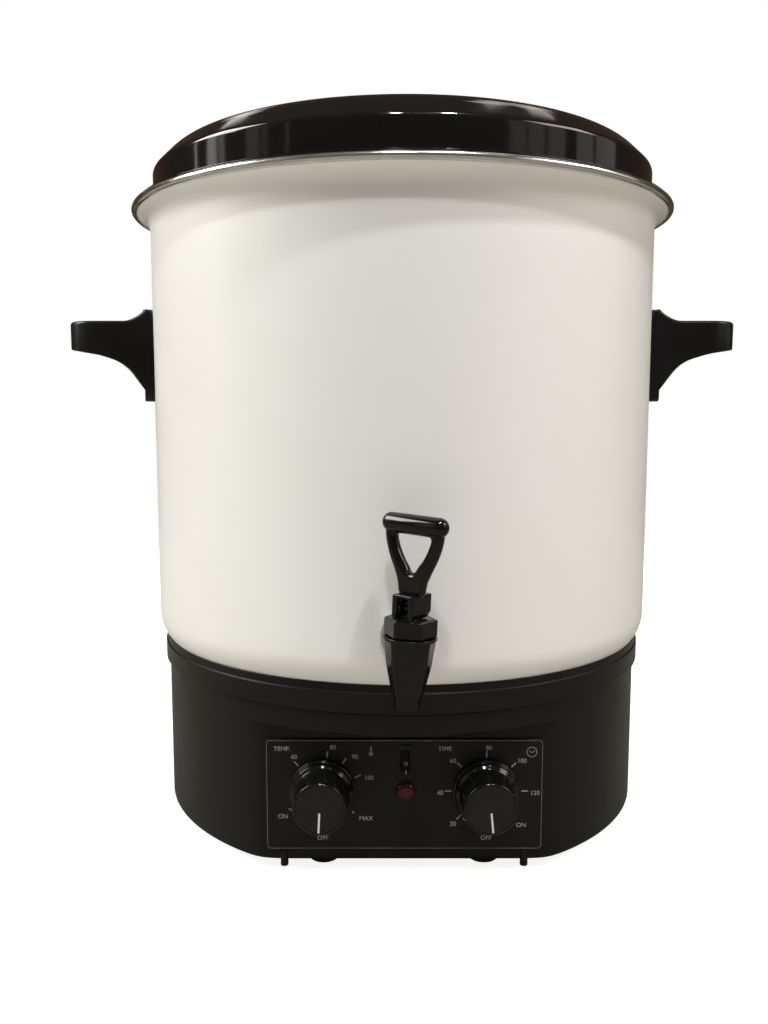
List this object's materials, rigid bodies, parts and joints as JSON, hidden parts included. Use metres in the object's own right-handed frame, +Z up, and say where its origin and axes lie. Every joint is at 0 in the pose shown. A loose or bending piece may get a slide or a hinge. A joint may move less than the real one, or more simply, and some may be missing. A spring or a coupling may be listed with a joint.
{
  "type": "enamel sterilizer pot",
  "caption": "Electric enamel preserving pot with lid, jar rack, draw-off tap, side handles and a base with thermostat, timer, switch and lamp.",
  "frame": {"origin": "middle of the footprint box on the surface that the feet stand on; the pot axis is 15.4 mm behind it", "axes": "+Z up along the pot axis, -Y to the front with the tap and controls, +X to the right handle seen from the front"},
  "size_m": [0.458, 0.4048, 0.4763],
  "materials": {
    "white_enamel": "glossy fired enamel on steel",
    "black_enamel": "mirror-gloss fired enamel on steel",
    "bright_steel": "polished stainless steel",
    "dull_steel": "zinc-plated steel",
    "black_steel": "blackened steel",
    "black_resin": "satin moulded heat-proof resin",
    "gloss_black_plastic": "polished moulding",
    "panel_black": "matte printed fascia",
    "pale_silicone": "translucent grey silicone",
    "black_rubber": "moulded rubber",
    "lamp_red": "dark red unlit lens",
    "inner_plastic": "heat-proof moulding",
    "brass": "plain brass and copper"
  },
  "bodies": {
    "cooker": {"pot_shell": "white_enamel", "rim_trim": "bright_steel", "handle_left": "black_resin", "handle_right": "black_resin", "handle_screw_left_front": "bright_steel", "handle_screw_left_rear": "bright_steel", "handle_screw_right_front": "bright_steel", "handle_screw_right_rear": "bright_steel", "base_collar": "black_resin", "base_housing": "black_resin", "bottom_plate": "dull_steel", "rubber_foot_front_left": "black_rubber", "rubber_foot_front_right": "black_rubber", "rubber_foot_rear_left": "black_rubber", "rubber_foot_rear_right": "black_rubber", "foot_screw_front_left": "dull_steel", "foot_screw_front_right": "dull_steel", "foot_screw_rear_left": "dull_steel", "foot_screw_rear_right": "dull_steel", "control_panel": "panel_black", "thermostat_body": "inner_plastic", "timer_body": "inner_plastic", "switch_housing": "gloss_black_plastic", "lamp_lens": "lamp_red", "lamp_holder": "inner_plastic", "heating_element": "dull_steel", "reflector_plate": "bright_steel", "reflector_nut": "dull_steel", "thermal_cutout": "inner_plastic", "tie_bolt": "dull_steel", "tie_nut": "dull_steel", "sensing_bulb": "brass", "capillary_tube": "brass", "terminal_block": "inner_plastic", "cord_gland": "black_resin", "gland_nut": "black_resin", "tap_body": "gloss_black_plastic", "tap_bonnet": "gloss_black_plastic", "tap_gasket_outer": "pale_silicone", "tap_gasket_inner": "pale_silicone", "tap_lock_nut": "gloss_black_plastic", "tap_spring": "bright_steel"},
    "lid": {"lid_shell": "black_enamel", "lid_knob": "gloss_black_plastic", "lid_knob_washer": "dull_steel", "lid_knob_screw": "bright_steel"},
    "rack": {"jar_rack": "bright_steel"},
    "thermostat_control": {"thermostat_knob": "gloss_black_plastic", "thermostat_shaft": "brass"},
    "timer_control": {"timer_knob": "gloss_black_plastic", "timer_shaft": "brass"},
    "power_rocker": {"switch_rocker": "gloss_black_plastic"},
    "tap_valve": {"tap_stem": "bright_steel", "tap_seat_cup": "pale_silicone", "tap_lever_pin": "black_steel"},
    "tap_handle": {"tap_lever": "gloss_black_plastic"}
  },
  "joints": [
    {"name": "lid_lift", "type": "slide", "parent": "cooker", "child": "lid", "axis": [0, 0, 1], "range_m": [0, 0.2]},
    {"name": "rack_lift", "type": "slide", "parent": "cooker", "child": "rack", "axis": [0, 0, 1], "range_m": [0, 0.24]},
    {"name": "thermostat_turn", "type": "hinge", "parent": "cooker", "child": "thermostat_control", "pos_m": [-0.0496, -0.145, 0.0512], "axis": [0, 1, 0], "range_deg": [0, 306]},
    {"name": "timer_turn", "type": "hinge", "parent": "cooker", "child": "timer_control", "pos_m": [0.0496, -0.145, 0.0512], "axis": [0, 1, 0], "range_deg": [-45, 270]},
    {"name": "switch_rock", "type": "hinge", "parent": "cooker", "child": "power_rocker", "pos_m": [0.0005, -0.1312, 0.07], "axis": [1, 0, 0], "range_deg": [0, 20]},
    {"name": "tap_stem_rise", "type": "slide", "parent": "cooker", "child": "tap_valve", "axis": [0.0419, 0, 0.9991], "range_m": [0, 0.004], "stiffness_N_per_m": 400, "springref_m": -0.006, "deforming": ["tap_spring"]},
    {"name": "tap_lever_pull", "type": "hinge", "parent": "tap_valve", "child": "tap_handle", "pos_m": [0.00231, -0.1876, 0.17898], "axis": [0.7873, -0.6157, -0.033], "range_deg": [0, 35]}
  ],
  "couplings": [
    {"joint": "tap_lever_pull", "follows": "tap_stem_rise", "rad_per_m": 149.25}
  ]
}
